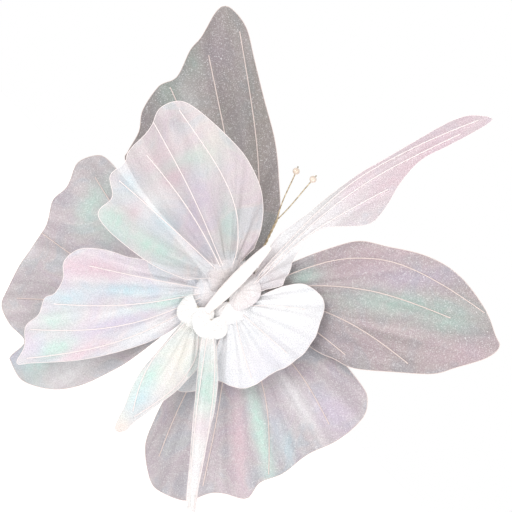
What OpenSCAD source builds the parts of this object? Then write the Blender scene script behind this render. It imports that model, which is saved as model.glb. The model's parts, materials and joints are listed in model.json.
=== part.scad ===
// Costume fairy wings: eight organza wings in two layers, hinged on a sew-on back plate,
// with a padded body, two tail streamers and a pair of pearl-tipped antennae.
// Millimetres. +Z points to the head, +X to the right wings, +Y to the wearer's back.
// The origin is the centre of the plate's rear face, which rests on the wearer.

/* [Back plate] */
// Width of the plate
plate_w = 34; // [32:1:40]
// Height of the plate
plate_h = 80; // [78:1:90]
// Corner radius of the plate
plate_r = 13; // [10:1:15]
// Thickness of the stiff plate
plate_t = 2; // [1.5:0.5:3]
// Thickness of the felt that faces the wearer
felt_t = 2; // [1:0.5:3]
// Eyelet spacing across the plate
eyelet_x = 19; // [16:1:20]
// Eyelet spacing along the plate
eyelet_z = 62; // [60:1:64]
// Clear hole of each strap eyelet
eyelet_hole_d = 3.6; // [3:0.2:4]

/* [Hinges] */
// Diameter of the hinge wires
wire_d = 2; // [1.6:0.2:2.4]
// Radial clearance of an eye on its wire
eye_gap = 0.06; // [0.02:0.01:0.09]
// Outer diameter of an eye
eye_d = 5; // [4.6:0.2:5.4]
// Length of a wing's eye
eye_len = 9; // [7:0.5:9]

/* [Wings] */
// Thickness of the organza with its stiffening
sheet_t = 0.8; // [0.5:0.1:1.2]
// Diameter of a covered rib wire
rib_d = 1.8; // [1.4:0.1:2]
// Width of the gathered root inside its clamp
gather_w = 10; // [8:1:11]
// Height of the soft waves along the free edges
ruffle = 4; // [0:1:5]

/* [Body] */
// Radius of the padded body
body_r = 7; // [6:0.5:7.5]
// Length of the padded body
body_len = 98; // [90:2:100]
// Thickness of the body's cover
cover_t = 1; // [0.6:0.2:1.2]

/* [Antennae] */
// Diameter of the antenna wires
stem_d = 1.3; // [1.1:0.1:1.4]
// Diameter of the pearls
pearl_d = 8; // [7:0.5:9]

/* [Hidden] */

$fn = 48;

// Layers of the root, measured forward from the wearer's back
plate_y = -(felt_t + plate_t);
rear_x = 12;
rear_y = -9;
front_x = 9;
front_y = -17;
rear_fore_z = 12;
front_fore_z = 8;
hind_z = -8;
wire_low = -24;
rear_wire_top = 24;
front_wire_top = 20;
staple_foot = 5;
body_y = -27;
body_low = -32;
tail_pin_y = -24;
tail_pin_z = -36.5;
tail_x = 10;
tail_pin_len = 28;
antenna_y = -10;
antenna_z = 35;
antenna_pin_x = 6;
eyelet_flange_d = 8;
eyelet_barrel_d = 5.6;
eyelet_flange_t = 0.8;
ferrule_from = 1.5;
ferrule_to = 14;
ferrule_t = 5;
gather_at = 8;
rib_from = 10;
rib_pitch = 2.3;
rib_sides = 6;
rib_rings = 9;
sheet_rows = 5;
span_steps = 2;

// A wing is [side, root, turn, lift, pitch, twist, curl, cup, fold, fold_at, reach, outline, ribs].
// turn leans it sideways from the head direction, lift raises it from the wearer's back about Z,
// pitch does so about X, twist rolls it about its own long axis. curl, cup and fold bend the sheet.
// The outline runs from the leading to the trailing side in the wing's own plane, and a rib is
// [u, v, bow, lean]: where it ends, how far it bows sideways, and below 1 the bow is nearer the root.
LEFT_REAR_FOREWING = [-1, [-rear_x, rear_y, rear_fore_z], 46, 5, 0, 0, -25, 12, 0, 0, 310,
    [[24, -32], [63, -55], [105, -57], [151, -53], [198, -42], [247, -31], [283, -23], [304, -10],
        [312, 2], [304, 13], [276, 28], [260, 41], [229, 56], [219, 76], [192, 94], [167, 98],
        [144, 110], [132, 112], [89, 87], [24, 32]],
    [[280, -15, -27, 0.6], [253, 20, -13, 0.6], [217, 63, -7, 1], [152, 95, -1, 1]]];
RIGHT_REAR_FOREWING = [1, [rear_x, rear_y, rear_fore_z], 58, 12, 0, 0, -20, 12, 0, 0, 285,
    [[21, -22], [47, -42], [77, -60], [113, -75], [145, -75], [192, -72], [228, -59], [261, -30],
        [279, -3], [286, 8], [277, 22], [248, 40], [225, 52], [182, 58], [142, 62], [119, 56],
        [90, 48], [24, 14]],
    [[262, -25, -45, 1], [229, -12, -18, 1], [198, 46, -15, 1], [129, 49, -5, 1]]];
LEFT_REAR_HINDWING = [-1, [-rear_x, rear_y, hind_z], 132, 3, 0, 0, -10, 0, 0, 0, 245,
    [[23, -26], [78, -87], [110, -121], [133, -145], [147, -150], [168, -140], [178, -113],
        [194, -97], [200, -69], [215, -47], [230, -22], [243, 8], [245, 24], [234, 44], [216, 62],
        [231, 78], [232, 84], [218, 105], [183, 114], [150, 109], [120, 95], [95, 80], [60, 52],
        [28, 25]],
    [[146, -124, 14, 1], [204, -60, 20, 1], [228, 14, 6, 1], [200, 82, -4, 1]]];
RIGHT_REAR_HINDWING = [1, [rear_x, rear_y, hind_z], 136, 2, 0, 0, -10, 0, 0, 0, 215,
    [[14, -24], [32, -67], [45, -96], [59, -118], [89, -143], [104, -149], [124, -143], [148, -116],
        [162, -86], [182, -58], [192, -32], [209, -18], [204, 6], [204, 22], [212, 47], [204, 74],
        [190, 90], [154, 96], [125, 86], [100, 73], [74, 55], [28, 22]],
    [[130, -108, -12, 1], [183, -42, -15, 1], [196, 29, -3, 1], [164, 80, 4, 1]]];
LEFT_FRONT_FOREWING = [-1, [-front_x, front_y, front_fore_z], 72, 42, 0, 0, 8, 12, 0, 0, 215,
    [[19, -41], [48, -64], [81, -75], [119, -75], [154, -66], [195, -50], [213, -36], [214, -15],
        [202, 3], [192, 34], [184, 43], [179, 63], [156, 71], [152, 89], [142, 94], [113, 87],
        [66, 67], [27, 41]],
    [[203, -33, -28, 0.7], [205, -3, -4, 1], [178, 19, -6, 1], [169, 57, -1, 1]]];
RIGHT_FRONT_FOREWING = [1, [front_x, front_y, front_fore_z], 50, 20, 0, 0, -36, 0, 20, 100, 330,
    [[20, -33], [33, -61], [48, -76], [66, -92], [88, -114], [115, -136], [130, -147], [142, -155],
        [160, -168], [182, -183], [200, -195], [217, -205], [236, -210], [259, -205], [240, -188],
        [215, -172], [187, -155], [168, -128], [156, -100], [142, -80], [120, -76], [91, -75],
        [69, -61], [60, -42], [54, -28], [48, -13]],
    [[244, -203, -28, 1], [227, -186, -20, 1], [155, -119, -12, 1]]];
LEFT_FRONT_HINDWING = [-1, [-front_x, front_y, hind_z], 142, 20, 0, 0, -12, 12, 0, 0, 235,
    [[22, -17], [69, -43], [92, -51], [115, -62], [142, -67], [161, -56], [165, -37], [177, -22],
        [188, -19], [197, -2], [213, 9], [217, 30], [228, 47], [211, 49], [160, 53], [109, 49],
        [63, 38], [28, 18]],
    [[134, -47, 1, 1], [179, -11, 7, 1], [208, 13, 15, 1], [216, 43, 15, 1]]];
RIGHT_FRONT_HINDWING = [1, [front_x, front_y, hind_z], 95, 10, 0, 0, 12, 0, 0, 0, 125,
    [[28, -55], [42, -74], [64, -80], [78, -76], [88, -66], [102, -43], [104, -10], [100, 9],
        [93, 40], [78, 55], [61, 64], [57, 82], [48, 95], [36, 104], [24, 88], [12, 34]],
    [[67, -58, -3, 1], [92, -13, 0, 1], [86, 33, 2, 1], [53, 73, 2, 1]]];
LEFT_TAIL = [1, [-tail_x, tail_pin_y, tail_pin_z], 167, 0, 14, 0, 10, 0, 0, 0, 160,
    [[15, -17], [31, -28], [53, -37], [89, -33], [117, -24], [144, -15], [157, -13], [163, -7],
        [161, -2], [151, 1], [137, 3], [122, 7], [106, 10], [88, 11], [65, 9], [36, 7], [15, 6]],
    [[139, -12, -26, 0.8], [135, -7, 11, 1.2]]];
RIGHT_TAIL = [1, [tail_x, tail_pin_y, tail_pin_z], 141, 0, 32, 0, 10, 0, 0, 0, 250,
    [[20, -8], [47, -12], [74, -16], [110, -16], [128, -14], [156, -12], [181, -9], [204, -9],
        [236, -9], [252, -8], [258, -5], [253, -2], [237, 0], [213, 2], [172, 3],
        [129, 5], [88, 6], [46, 7], [15, 7]],
    [[240, -6, -10, 0.7], [230, -2, 3, 1]]];

function side(w) = w[0];
function root(w) = w[1];
function turn(w) = w[2];
function lift(w) = w[3];
function pitch(w) = w[4];
function twist(w) = w[5];
function curl(w) = w[6];
function cup(w) = w[7];
function fold(w) = w[8];
function fold_at(w) = w[9];
function reach(w) = w[10];
function outline(w) = w[11];
function ribs(w) = w[12];

// A point given along the wing, across it and above it, in the part's frame
function rolled(w, p) = [p[0], p[1] * cos(twist(w)) - p[2] * sin(twist(w)),
    p[1] * sin(twist(w)) + p[2] * cos(twist(w))];
function turned(w, p) = [side(w) * (p[0] * sin(turn(w)) + p[1] * cos(turn(w))), -p[2],
    p[0] * cos(turn(w)) - p[1] * sin(turn(w))];
function lifted(w, p) = [p[0] * cos(lift(w)) + side(w) * p[1] * sin(lift(w)),
    p[1] * cos(lift(w)) - side(w) * p[0] * sin(lift(w)), p[2]];
function pitched(w, p) = [p[0], p[1] * cos(pitch(w)) + p[2] * sin(pitch(w)),
    p[2] * cos(pitch(w)) - p[1] * sin(pitch(w))];
function placed(w, p) = pitched(w, lifted(w, turned(w, rolled(w, p))));

// Height of the sheet above its plane
fold_len = 130;
ruffle_waves = 9;
function height(w, u, v) = curl(w) * pow(u / reach(w), 2) + cup(w) * pow(v / 100, 2)
    + fold(w) * max(v, 0) / 100 * cos(360 * (u - fold_at(w)) / fold_len)
    + ruffle * pow(norm([u, v]) / reach(w), 3) * sin(ruffle_waves * atan2(v, u));
function on_sheet(w, u, v, above = 0) = root(w) + placed(w, [u, v, height(w, u, v) + above]);

// A smooth curve through an outline's points
function spline(a, b, c, d, t) = 0.5 * (2 * b + (c - a) * t + (2 * a - 5 * b + 4 * c - d) * t * t
    + (3 * b - a - 3 * c + d) * t * t * t);
function smooth(pts) = let (n = len(pts)) [for (i = [0 : n - 2], k = [0 : span_steps - 1])
    spline(pts[max(i - 1, 0)], pts[i], pts[i + 1], pts[min(i + 2, n - 1)], k / span_steps), pts[n - 1]];

// Rows of points that cover a sheet. A fan spreads from the gathered root to the free edge,
// and a blade runs out from the root between its leading and its trailing side.
function between(a, b) = [for (j = [0 : sheet_rows]) a + (b - a) * j / sheet_rows];
function fan(edge) = [for (i = [0 : len(edge) - 1])
    between([gather_at, (i / (len(edge) - 1) - 0.5) * gather_w], edge[i])];
function blade(edge) = concat([between([gather_at, -gather_w / 2], [gather_at, gather_w / 2])],
    [for (i = [0 : floor(len(edge) / 2) - 1]) between(edge[i], edge[len(edge) - 1 - i])]);

// The organza over such rows: its front face, its rear face and the rim between them
module sheet(w, grid, front_first) {
    n = len(grid);
    rows = sheet_rows + 1;
    cell = [for (above = [sheet_t / 2, -sheet_t / 2], row = grid, p = row) on_sheet(w, p[0], p[1], above)];
    function at(layer, i, j) = (layer * n + i) * rows + j;
    faces = [
        for (i = [0 : n - 2], j = [0 : sheet_rows - 1]) each [
            [at(0, i, j), at(0, i, j + 1), at(0, i + 1, j + 1)],
            [at(0, i, j), at(0, i + 1, j + 1), at(0, i + 1, j)],
            [at(1, i, j), at(1, i + 1, j + 1), at(1, i, j + 1)],
            [at(1, i, j), at(1, i + 1, j), at(1, i + 1, j + 1)]],
        for (i = [0 : n - 2]) each [
            [at(0, i, sheet_rows), at(1, i, sheet_rows), at(1, i + 1, sheet_rows)],
            [at(0, i, sheet_rows), at(1, i + 1, sheet_rows), at(0, i + 1, sheet_rows)],
            [at(0, i + 1, 0), at(1, i + 1, 0), at(1, i, 0)],
            [at(0, i + 1, 0), at(1, i, 0), at(0, i, 0)]],
        for (j = [0 : sheet_rows - 1]) each [
            [at(0, 0, j), at(1, 0, j), at(1, 0, j + 1)],
            [at(0, 0, j), at(1, 0, j + 1), at(0, 0, j + 1)],
            [at(0, n - 1, j + 1), at(1, n - 1, j + 1), at(1, n - 1, j)],
            [at(0, n - 1, j + 1), at(1, n - 1, j), at(0, n - 1, j)]]];
    polyhedron(cell, front_first ? faces : [for (f = faces) [f[0], f[2], f[1]]]);
}
module organza(w) { sheet(w, fan(smooth(outline(w))), side(w) > 0); }
module organza_blade(w) { sheet(w, blade(smooth(outline(w))), side(w) < 0); }

// A round wire through a list of points, with flat ends
module wire(path, r, sides = rib_sides) {
    n = len(path);
    function ahead(i) = let (d = path[min(i + 1, n - 1)] - path[max(i - 1, 0)]) d / norm(d);
    function across(i) = let (c = cross(ahead(i), [0.1, 0.9, 0.3])) c / norm(c);
    ring = [for (i = [0 : n - 1]) let (a = across(i), b = cross(ahead(i), a))
        for (k = [0 : sides - 1]) path[i] + r * (cos(360 * k / sides) * a + sin(360 * k / sides) * b)];
    function at(i, k) = i * sides + k % sides;
    polyhedron(ring, [
        [for (k = [sides - 1 : -1 : 0]) at(0, k)],
        [for (k = [0 : sides - 1]) at(n - 1, k)],
        for (i = [0 : n - 2], k = [0 : sides - 1]) each [
            [at(i, k), at(i, k + 1), at(i + 1, k + 1)],
            [at(i, k), at(i + 1, k + 1), at(i + 1, k)]]]);
}

// The covered wires that stiffen a wing, fanned out from its clamp
module rib_wires(w) {
    all = ribs(w);
    for (i = [0 : len(all) - 1]) {
        from = [rib_from, (i - (len(all) - 1) / 2) * rib_pitch];
        run = [all[i][0], all[i][1]] - from;
        sideways = [-run[1], run[0]] / norm(run);
        wire([for (k = [0 : rib_rings - 1]) let (t = k / (rib_rings - 1),
            p = from + run * t + sideways * all[i][2] * sin(180 * pow(t, all[i][3])))
            on_sheet(w, p[0], p[1])], rib_d / 2);
    }
}

// The flattened ferrule that grips the gathered root, with the eye that turns on the hinge wire
module root_clamp(w, eye_axis, eye_l) {
    difference() {
        union() {
            translate(root(w)) rotate(eye_axis) cylinder(d = eye_d, h = eye_l, center = true);
            translate(root(w)) rotate([-pitch(w), 0, 0]) rotate([0, 0, side(w) * -lift(w)])
                rotate([0, side(w) * turn(w), 0]) rotate([0, 0, side(w) * twist(w) * -1])
                translate([0, 0, ferrule_from]) linear_extrude(ferrule_to - ferrule_from) ferrule_outline();
        }
        translate(root(w)) rotate(eye_axis) cylinder(d = wire_d + 2 * eye_gap, h = 3 * eye_l, center = true);
    }
}

module ferrule_outline() {
    square([gather_w, ferrule_t], center = true);
    for (x = [-1, 1]) translate([x * gather_w / 2, 0]) circle(d = ferrule_t);
}

// A bent wire: its straight run stands off the plate, and its ends turn inwards and back into it
module hinge_staple(side, x, y, top) {
    translate([side * x, y, wire_low]) cylinder(d = wire_d, h = top - wire_low);
    for (z = [wire_low, top]) {
        translate([side * x, y, z]) sphere(d = wire_d);
        translate([side * x, y, z]) rotate([0, -90 * side, 0]) cylinder(d = wire_d, h = staple_foot);
        translate([side * (x - staple_foot), y, z]) sphere(d = wire_d);
        translate([side * (x - staple_foot), y, z]) rotate([-90, 0, 0]) cylinder(d = wire_d, h = -felt_t - y);
    }
}

module plate_outline(w, h) {
    x = w / 2 - plate_r;
    z = h / 2 - plate_r;
    square([w, 2 * z], center = true);
    square([2 * x, h], center = true);
    for (i = [-1, 1], k = [-1, 1]) translate([i * x, k * z]) circle(r = plate_r);
}

module eyelet_places() {
    for (i = [-1, 1], k = [-1, 1])
        translate([i * eyelet_x / 2, 0, k * eyelet_z / 2]) rotate([90, 0, 0]) children();
}

module backing_felt() {
    color("ivory") difference() {
        rotate([90, 0, 0]) linear_extrude(felt_t) plate_outline(plate_w, plate_h);
        eyelet_places() cylinder(d = eyelet_barrel_d, h = 3 * felt_t, center = true);
    }
}

module backing_plate() {
    color("white") difference() {
        translate([0, -felt_t, 0]) rotate([90, 0, 0]) linear_extrude(plate_t) plate_outline(plate_w, plate_h);
        eyelet_places() cylinder(d = eyelet_barrel_d, h = 30, center = true);
    }
}

module strap_eyelets() {
    color("silver") eyelet_places() difference() {
        union() {
            cylinder(d = eyelet_barrel_d, h = -plate_y);
            translate([0, 0, -plate_y]) cylinder(d = eyelet_flange_d, h = eyelet_flange_t);
        }
        cylinder(d = eyelet_hole_d, h = 30, center = true);
    }
}

module left_rear_hinge_wire() { color("silver") hinge_staple(-1, rear_x, rear_y, rear_wire_top); }
module right_rear_hinge_wire() { color("silver") hinge_staple(1, rear_x, rear_y, rear_wire_top); }
module left_front_hinge_wire() { color("silver") hinge_staple(-1, front_x, front_y, front_wire_top); }
module right_front_hinge_wire() { color("silver") hinge_staple(1, front_x, front_y, front_wire_top); }

// A T-shaped pin: the tails turn on its two arms
module tail_hinge_wire() {
    color("silver") translate([0, tail_pin_y, tail_pin_z]) {
        rotate([0, 90, 0]) cylinder(d = wire_d, h = tail_pin_len, center = true);
        rotate([-90, 0, 0]) cylinder(d = wire_d, h = -felt_t - tail_pin_y);
    }
}

module antenna_hinge_wire() {
    color("silver") translate([0, antenna_y, antenna_z]) {
        rotate([0, 90, 0]) cylinder(d = wire_d, h = 2 * antenna_pin_x, center = true);
        for (x = [-antenna_pin_x, antenna_pin_x]) translate([x, 0, 0]) {
            sphere(d = wire_d);
            rotate([-90, 0, 0]) cylinder(d = wire_d, h = -felt_t - antenna_y);
        }
    }
}

// The core wire of the body, bent back into the plate at both ends
body_leg_low = -24;
body_leg_high = 28;
module body_wire() {
    color("silver") {
        translate([0, body_y, body_leg_low]) cylinder(d = wire_d, h = body_len + body_low - body_leg_low - 6);
        for (z = [body_leg_low, body_leg_high]) translate([0, body_y, z]) {
            rotate([-90, 0, 0]) cylinder(d = wire_d, h = -felt_t - body_y);
        }
        translate([0, body_y, body_leg_low]) sphere(d = wire_d);
    }
}

// Radius of the body from its tied lower end to its tapered upper end
body_steps = 14;
function body_radius(t) = body_r * pow(sin(180 * (0.09 + 0.83 * t)), 0.5);
function body_profile(inset) = [for (i = [0 : body_steps]) let (t = i / body_steps)
    [body_radius(t) - inset, inset + t * (body_len - 2 * inset)]];

module body_filling() {
    color("white") translate([0, body_y, body_low]) rotate_extrude()
        polygon(concat([[0, cover_t]], body_profile(cover_t), [[0, body_len - cover_t]]));
}

module body_cover() {
    color("ivory") translate([0, body_y, body_low]) difference() {
        rotate_extrude() polygon(concat([[0, 0]], body_profile(0), [[0, body_len]]));
        rotate_extrude() polygon(concat([[0, cover_t]], body_profile(cover_t), [[0, body_len - cover_t]]));
    }
}

// Thread wound round the body: it ties the lower end and holds the gathers
module body_bindings() {
    color("ivory") for (t = [0.04, 0.32, 0.58]) translate([0, body_y, body_low + t * body_len])
        rotate_extrude() translate([body_radius(t) + 0.1, 0]) circle(d = 0.9, $fn = 16);
}

rear_tint = [0.78, 0.72, 0.74];
front_tint = [0.93, 0.90, 0.95];
vein_tint = [0.93, 0.86, 0.85];
clamp_tint = [0.90, 0.88, 0.84];
pearl_tint = [0.86, 0.80, 0.72];
upright = [0, 0, 0];
crosswise = [0, 90, 0];
tail_eye_len = 7;

module left_rear_forewing_clamp() { color(clamp_tint) root_clamp(LEFT_REAR_FOREWING, upright, eye_len); }
module left_rear_forewing_ribs() { color(vein_tint) rib_wires(LEFT_REAR_FOREWING); }
module left_rear_forewing_organza() { color(rear_tint) organza(LEFT_REAR_FOREWING); }
module right_rear_forewing_clamp() { color(clamp_tint) root_clamp(RIGHT_REAR_FOREWING, upright, eye_len); }
module right_rear_forewing_ribs() { color(vein_tint) rib_wires(RIGHT_REAR_FOREWING); }
module right_rear_forewing_organza() { color(rear_tint) organza(RIGHT_REAR_FOREWING); }
module left_rear_hindwing_clamp() { color(clamp_tint) root_clamp(LEFT_REAR_HINDWING, upright, eye_len); }
module left_rear_hindwing_ribs() { color(vein_tint) rib_wires(LEFT_REAR_HINDWING); }
module left_rear_hindwing_organza() { color(rear_tint) organza(LEFT_REAR_HINDWING); }
module right_rear_hindwing_clamp() { color(clamp_tint) root_clamp(RIGHT_REAR_HINDWING, upright, eye_len); }
module right_rear_hindwing_ribs() { color(vein_tint) rib_wires(RIGHT_REAR_HINDWING); }
module right_rear_hindwing_organza() { color(rear_tint) organza(RIGHT_REAR_HINDWING); }
module left_front_forewing_clamp() { color(clamp_tint) root_clamp(LEFT_FRONT_FOREWING, upright, eye_len); }
module left_front_forewing_ribs() { color(vein_tint) rib_wires(LEFT_FRONT_FOREWING); }
module left_front_forewing_organza() { color(front_tint) organza(LEFT_FRONT_FOREWING); }
module right_front_forewing_clamp() { color(clamp_tint) root_clamp(RIGHT_FRONT_FOREWING, upright, eye_len); }
module right_front_forewing_ribs() { color(vein_tint) rib_wires(RIGHT_FRONT_FOREWING); }
module right_front_forewing_organza() { color(front_tint) organza_blade(RIGHT_FRONT_FOREWING); }
module left_front_hindwing_clamp() { color(clamp_tint) root_clamp(LEFT_FRONT_HINDWING, upright, eye_len); }
module left_front_hindwing_ribs() { color(vein_tint) rib_wires(LEFT_FRONT_HINDWING); }
module left_front_hindwing_organza() { color(front_tint) organza(LEFT_FRONT_HINDWING); }
module right_front_hindwing_clamp() { color(clamp_tint) root_clamp(RIGHT_FRONT_HINDWING, upright, eye_len); }
module right_front_hindwing_ribs() { color(vein_tint) rib_wires(RIGHT_FRONT_HINDWING); }
module right_front_hindwing_organza() { color(front_tint) organza(RIGHT_FRONT_HINDWING); }
module left_tail_clamp() { color(clamp_tint) root_clamp(LEFT_TAIL, crosswise, tail_eye_len); }
module left_tail_wires() { color(vein_tint) rib_wires(LEFT_TAIL); }
module left_tail_organza() { color(front_tint) organza(LEFT_TAIL); }
module right_tail_clamp() { color(clamp_tint) root_clamp(RIGHT_TAIL, crosswise, tail_eye_len); }
module right_tail_wires() { color(vein_tint) rib_wires(RIGHT_TAIL); }
module right_tail_organza() { color(front_tint) organza(RIGHT_TAIL); }

// The antennae leave one clamp as a twisted pair, part at the fork and end in a pearl each
antenna_base = [0, antenna_y, antenna_z + 2];
antenna_fork = [-16, -22, 93];
left_pearl_at = [-35, -34, 145];
right_pearl_at = [-15, -34, 151];
twist_turns = 5;
rings_per_turn = 7;
twist_gap = 0.07;
antenna_eye_len = 8;
antenna_ferrule_d = 4.2;
antenna_ferrule_len = 9;
pair_run = antenna_fork - antenna_base;
pair_side = cross(pair_run, [1, 0, 0]) / norm(cross(pair_run, [1, 0, 0]));
pair_across = cross(pair_run, pair_side) / norm(pair_run);
function helix(t, phase) = let (q = 360 * twist_turns * t + phase)
    antenna_base + pair_run * t + (stem_d / 2 + twist_gap) * (cos(q) * pair_side + sin(q) * pair_across);
function stem_path(phase, tip) = concat(
    [for (i = [0 : twist_turns * rings_per_turn]) helix(i / (twist_turns * rings_per_turn), phase)],
    [for (t = [0.1, 0.4, 0.7, 1]) helix(1, phase) + (tip - helix(1, phase)) * t]);

module antenna_clamp() {
    color(clamp_tint) translate([0, antenna_y, antenna_z]) difference() {
        union() {
            rotate(crosswise) cylinder(d = eye_d, h = antenna_eye_len, center = true);
            rotate([0, acos(pair_run[2] / norm(pair_run)), atan2(pair_run[1], pair_run[0])])
                translate([0, 0, ferrule_from]) cylinder(d = antenna_ferrule_d, h = antenna_ferrule_len);
        }
        rotate(crosswise) cylinder(d = wire_d + 2 * eye_gap, h = 3 * antenna_eye_len, center = true);
    }
}

module left_antenna_stem() { color(pearl_tint) wire(stem_path(180, left_pearl_at), stem_d / 2); }
module right_antenna_stem() { color(pearl_tint) wire(stem_path(0, right_pearl_at), stem_d / 2); }
module left_pearl() { color(pearl_tint) translate(left_pearl_at) sphere(d = pearl_d); }
module right_pearl() { color(pearl_tint) translate(right_pearl_at) sphere(d = pearl_d); }

backing_felt();
backing_plate();
strap_eyelets();
left_rear_hinge_wire();
right_rear_hinge_wire();
left_front_hinge_wire();
right_front_hinge_wire();
tail_hinge_wire();
antenna_hinge_wire();
body_wire();
body_filling();
body_cover();
body_bindings();
left_rear_forewing_clamp();
left_rear_forewing_ribs();
left_rear_forewing_organza();
right_rear_forewing_clamp();
right_rear_forewing_ribs();
right_rear_forewing_organza();
left_rear_hindwing_clamp();
left_rear_hindwing_ribs();
left_rear_hindwing_organza();
right_rear_hindwing_clamp();
right_rear_hindwing_ribs();
right_rear_hindwing_organza();
left_front_forewing_clamp();
left_front_forewing_ribs();
left_front_forewing_organza();
right_front_forewing_clamp();
right_front_forewing_ribs();
right_front_forewing_organza();
left_front_hindwing_clamp();
left_front_hindwing_ribs();
left_front_hindwing_organza();
right_front_hindwing_clamp();
right_front_hindwing_ribs();
right_front_hindwing_organza();
left_tail_clamp();
left_tail_wires();
left_tail_organza();
right_tail_clamp();
right_tail_wires();
right_tail_organza();
antenna_clamp();
left_antenna_stem();
right_antenna_stem();
left_pearl();
right_pearl();
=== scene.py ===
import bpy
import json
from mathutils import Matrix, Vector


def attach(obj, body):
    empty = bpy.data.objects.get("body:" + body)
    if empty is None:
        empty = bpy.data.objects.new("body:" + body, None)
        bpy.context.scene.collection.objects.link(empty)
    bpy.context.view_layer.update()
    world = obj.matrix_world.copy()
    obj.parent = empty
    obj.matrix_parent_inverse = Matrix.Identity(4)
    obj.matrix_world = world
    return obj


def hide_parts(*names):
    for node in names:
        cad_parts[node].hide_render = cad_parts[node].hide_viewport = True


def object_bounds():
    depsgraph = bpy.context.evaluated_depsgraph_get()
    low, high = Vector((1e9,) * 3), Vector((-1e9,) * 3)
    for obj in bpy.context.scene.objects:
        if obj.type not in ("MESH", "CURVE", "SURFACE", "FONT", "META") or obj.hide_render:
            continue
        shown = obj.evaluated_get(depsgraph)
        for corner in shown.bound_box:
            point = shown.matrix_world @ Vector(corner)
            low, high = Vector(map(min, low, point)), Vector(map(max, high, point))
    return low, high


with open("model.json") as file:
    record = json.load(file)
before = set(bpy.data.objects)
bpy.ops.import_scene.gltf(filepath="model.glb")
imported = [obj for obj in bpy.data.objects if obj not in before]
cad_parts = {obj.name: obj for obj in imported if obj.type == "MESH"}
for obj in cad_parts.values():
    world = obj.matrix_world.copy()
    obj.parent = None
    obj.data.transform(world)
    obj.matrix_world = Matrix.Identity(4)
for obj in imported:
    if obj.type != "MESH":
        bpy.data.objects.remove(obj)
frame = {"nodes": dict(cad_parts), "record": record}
CAD_BOX = [list(corner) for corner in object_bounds()]

import json
import math

import bpy
import numpy as np
from mathutils import Matrix, Vector

MM = 0.001
NODES = frame["nodes"]


# ---------------------------------------------------------------- camera, floor and light

VIEW_AZIMUTH = math.radians(15)
VIEW_ROLL = math.radians(44)
VIEW_DISTANCE = 2.0
VIEW_WIDTH = 0.563
FRAME_OFFSET = (0.0264, 0.0418)
SENSOR = 36.0


def add_camera():
    back = Vector((math.sin(VIEW_AZIMUTH), -math.cos(VIEW_AZIMUTH), 0))
    level = Vector((math.cos(VIEW_AZIMUTH), math.sin(VIEW_AZIMUTH), 0))
    head = Vector((0, 0, 1))
    right = math.cos(VIEW_ROLL) * level + math.sin(VIEW_ROLL) * head
    up = math.cos(VIEW_ROLL) * head - math.sin(VIEW_ROLL) * level
    data = bpy.data.cameras.new("camera")
    data.sensor_width = SENSOR
    data.lens = SENSOR * VIEW_DISTANCE / VIEW_WIDTH
    data.clip_end = 20
    camera = bpy.data.objects.new("camera", data)
    place = FRAME_OFFSET[0] * right + FRAME_OFFSET[1] * up + VIEW_DISTANCE * back
    camera.matrix_world = Matrix.Translation(place) @ Matrix((right, up, back)).transposed().to_4x4()
    bpy.context.scene.collection.objects.link(camera)
    bpy.context.scene.camera = camera
    return right, up, back


def add_light(name, place, size, energy):
    data = bpy.data.lights.new(name, "AREA")
    data.shape = "DISK"
    data.size = size
    data.energy = energy
    lamp = bpy.data.objects.new(name, data)
    aim = Vector(place).to_track_quat("Z", "Y").to_matrix().to_4x4()
    lamp.matrix_world = Matrix.Translation(place) @ aim
    bpy.context.scene.collection.objects.link(lamp)


def srgb(r, g, b):
    """A colour given as it looks on screen, as Blender's linear colour."""
    shares = [c / 255 for c in (r, g, b)]
    return tuple(c / 12.92 if c <= 0.04 else ((c + 0.055) / 1.055) ** 2.4 for c in shares) + (1,)


WHITE_WORLD = 1.0
FLOOR_GAP = 0.004
FLOOR_GLOW = 0.3


def add_stage():
    world = bpy.data.worlds.new("studio")
    bpy.context.scene.world = world
    world.use_nodes = True
    world.node_tree.nodes["Background"].inputs[0].default_value = (1, 1, 1, 1)
    world.node_tree.nodes["Background"].inputs[1].default_value = WHITE_WORLD
    z = CAD_BOX[0][2] - FLOOR_GAP
    mesh = bpy.data.meshes.new("floor")
    half = 6
    corners = [(-half, -half, z), (half, -half, z), (half, half, z), (-half, half, z)]
    mesh.from_pydata(corners, [], [(0, 1, 2, 3)])
    floor = bpy.data.objects.new("floor", mesh)
    bpy.context.scene.collection.objects.link(floor)
    mat, n = material("floor_paper", srgb(250, 250, 250), 0.9)
    grain = n.noise(n.position(), 60, 3)
    n.link(n.mix(grain, srgb(252, 252, 252), srgb(246, 246, 246)), "Base Color")
    n.shader.inputs["Emission Color"].default_value = (1, 1, 1, 1)
    n.shader.inputs["Emission Strength"].default_value = FLOOR_GLOW
    mesh.materials.append(mat)
    bpy.context.scene.view_settings.view_transform = "Standard"


# ---------------------------------------------------------------- material helpers

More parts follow.
